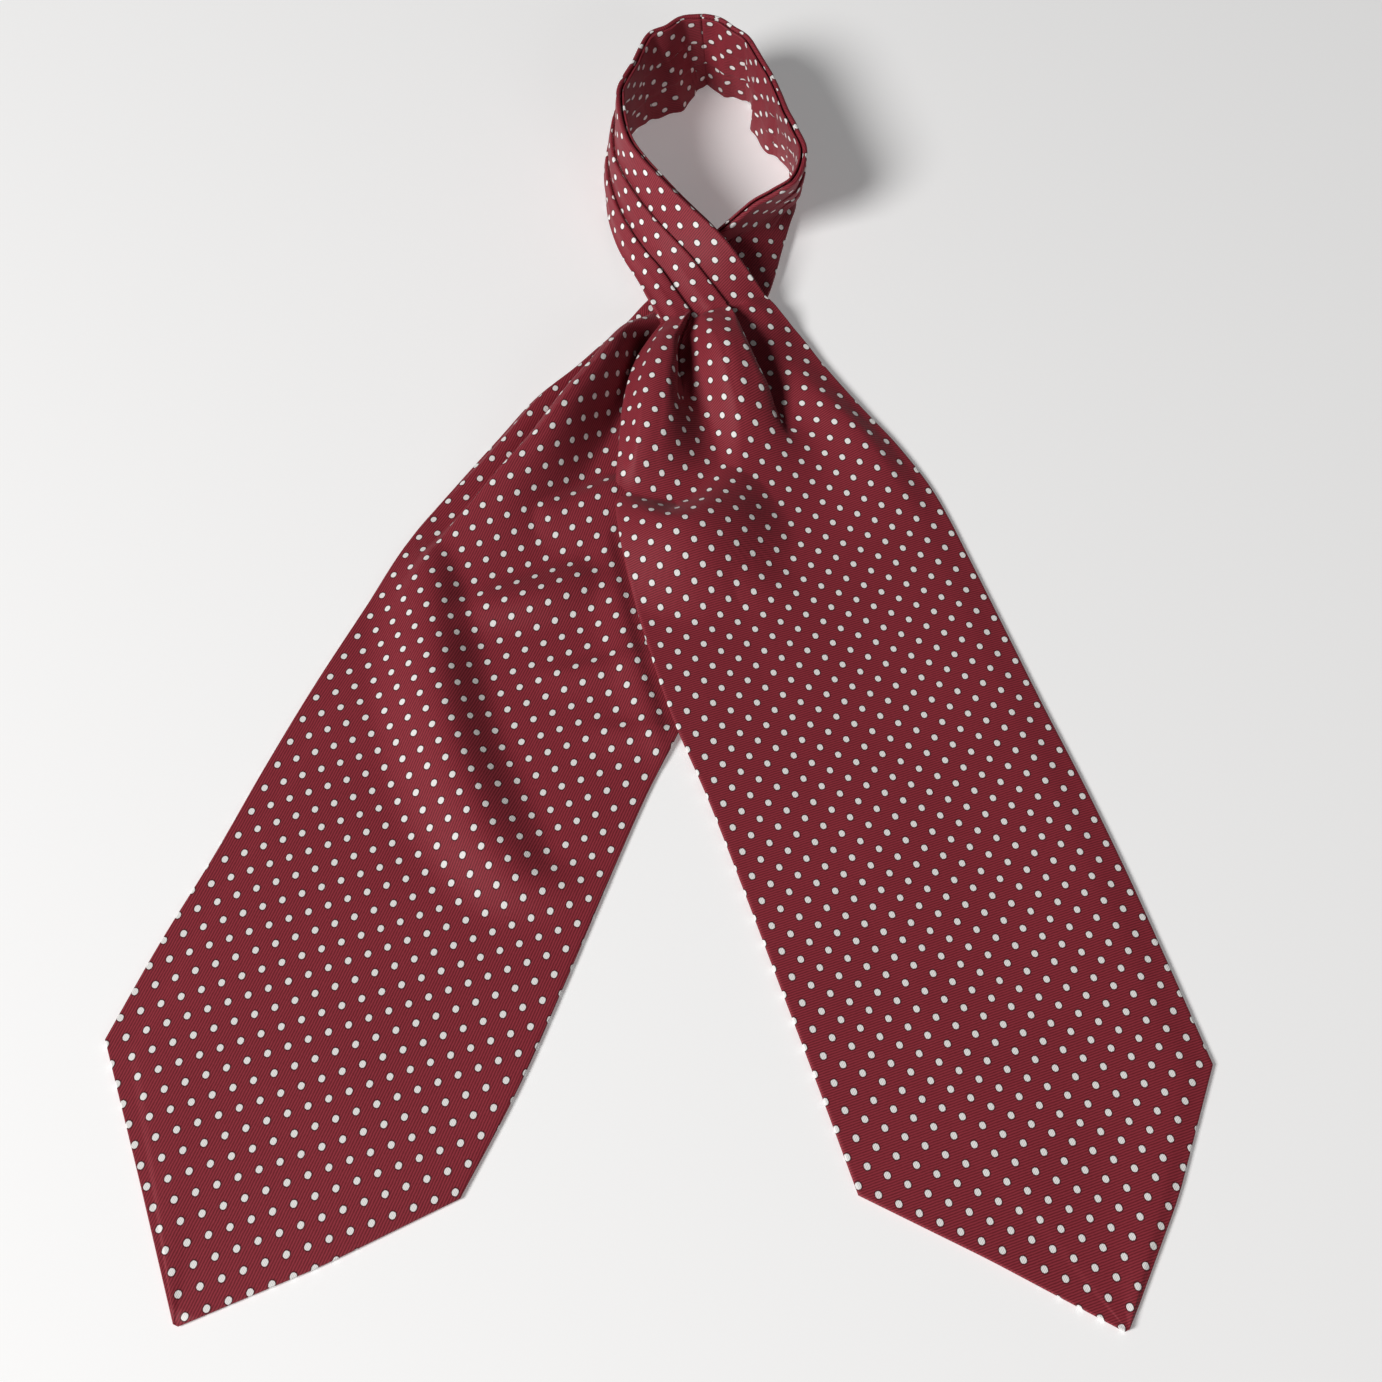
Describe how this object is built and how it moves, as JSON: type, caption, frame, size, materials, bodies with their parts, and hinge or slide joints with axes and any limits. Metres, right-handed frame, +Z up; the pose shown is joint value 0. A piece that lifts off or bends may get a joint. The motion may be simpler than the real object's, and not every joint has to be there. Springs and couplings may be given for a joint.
{
  "type": "silk cravat",
  "caption": "Day cravat laid flat: a pleated neckband loop that crosses over in front and opens into two long pointed blades.",
  "frame": {"origin": "centre of the laid-out cravat's bounding box, on the surface it lies on", "axes": "+Z up from the surface, +Y from the blades' points towards the neckband loop, +X towards the side of the front blade"},
  "size_m": [0.4242, 0.6288, 0.0473],
  "materials": {
    "wine_silk": "silk twill with a soft sheen and small white woven dots",
    "wine_silk_inner": "the same silk twill on the inner side of the neckband"
  },
  "bodies": {
    "root": {"front_blade": "wine_silk", "rear_blade": "wine_silk", "left_lower_pleat": "wine_silk", "left_middle_pleat": "wine_silk", "left_upper_pleat": "wine_silk", "left_inner_pleats": "wine_silk_inner", "right_lower_pleat": "wine_silk", "right_middle_pleat": "wine_silk", "right_upper_pleat": "wine_silk", "right_inner_pleats": "wine_silk_inner"}
  },
  "joints": []
}
